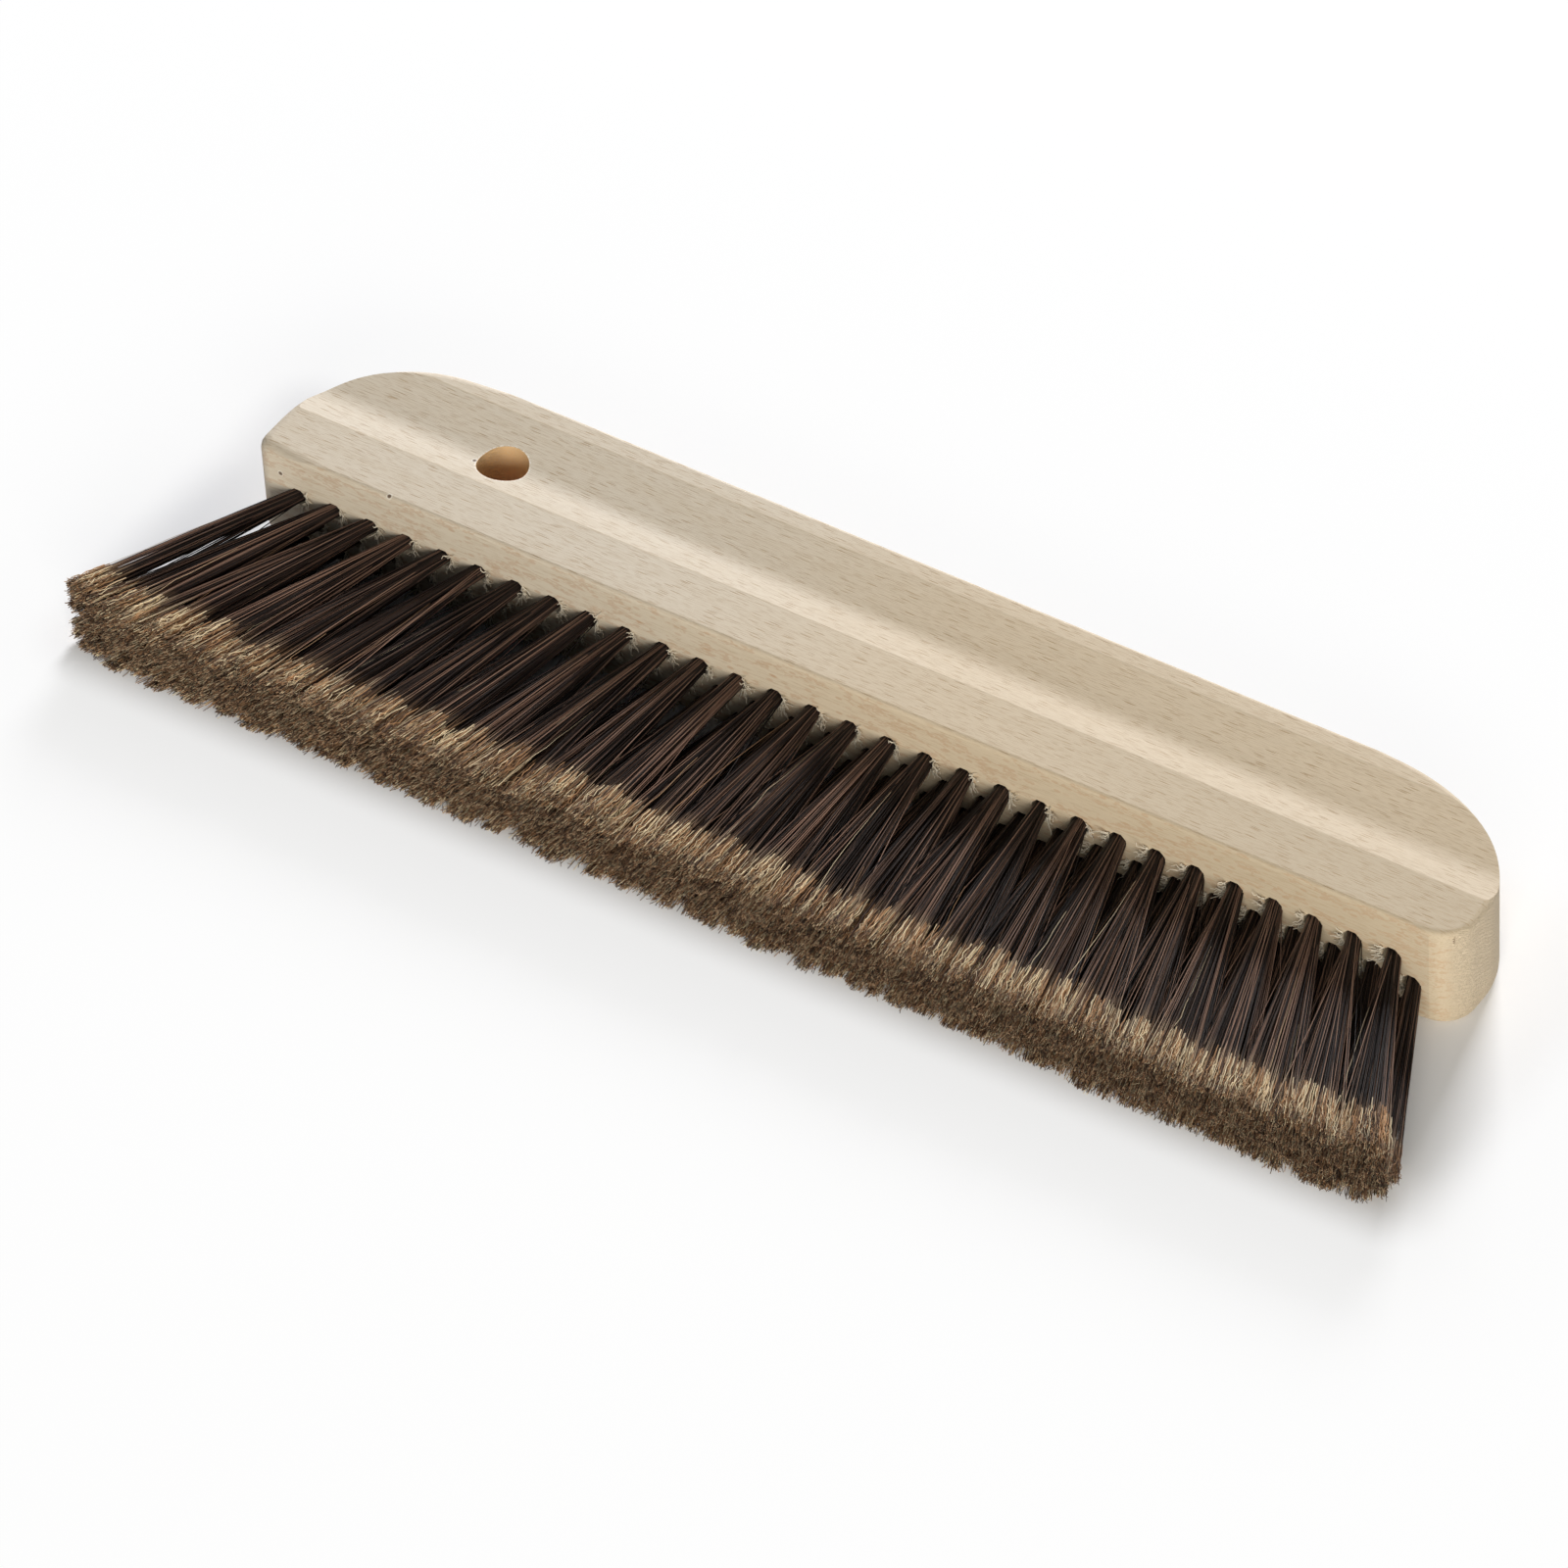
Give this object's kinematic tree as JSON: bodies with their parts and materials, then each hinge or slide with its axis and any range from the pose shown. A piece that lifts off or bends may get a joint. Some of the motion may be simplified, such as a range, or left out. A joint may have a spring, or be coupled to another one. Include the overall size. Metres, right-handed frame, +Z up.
{
  "type": "paperhanger's smoothing brush",
  "caption": "Flat hand-held smoothing brush: a rounded hardwood block with a finger groove along each face, a hanging hole and staggered rows of dark bristle tufts.",
  "frame": {"origin": "centre of the footprint, bristles included, on the surface that the brush lies on", "axes": "+X along the block towards the end without the hanging hole, +Z up through the block's thickness, and the bristles point to -Y"},
  "size_m": [0.3406, 0.0944, 0.026],
  "materials": {
    "beech": "matte",
    "bristle": "satin",
    "anchor_wire": "satin"
  },
  "bodies": {
    "root": {"beech_block": "beech", "lower_row_tufts_01": "bristle", "lower_row_tufts_02": "bristle", "lower_row_tufts_03": "bristle", "lower_row_tufts_04": "bristle", "lower_row_tufts_05": "bristle", "lower_row_tufts_06": "bristle", "lower_row_tufts_07": "bristle", "lower_row_tufts_08": "bristle", "lower_row_tufts_09": "bristle", "lower_row_tufts_10": "bristle", "middle_row_tufts_01": "bristle", "middle_row_tufts_02": "bristle", "middle_row_tufts_03": "bristle", "middle_row_tufts_04": "bristle", "middle_row_tufts_05": "bristle", "middle_row_tufts_06": "bristle", "middle_row_tufts_07": "bristle", "middle_row_tufts_08": "bristle", "middle_row_tufts_09": "bristle", "middle_row_tufts_10": "bristle", "upper_row_tufts_01": "bristle", "upper_row_tufts_02": "bristle", "upper_row_tufts_03": "bristle", "upper_row_tufts_04": "bristle", "upper_row_tufts_05": "bristle", "upper_row_tufts_06": "bristle", "upper_row_tufts_07": "bristle", "upper_row_tufts_08": "bristle", "upper_row_tufts_09": "bristle", "upper_row_tufts_10": "bristle", "lower_row_anchors": "anchor_wire", "middle_row_anchors": "anchor_wire", "upper_row_anchors": "anchor_wire"}
  },
  "joints": []
}
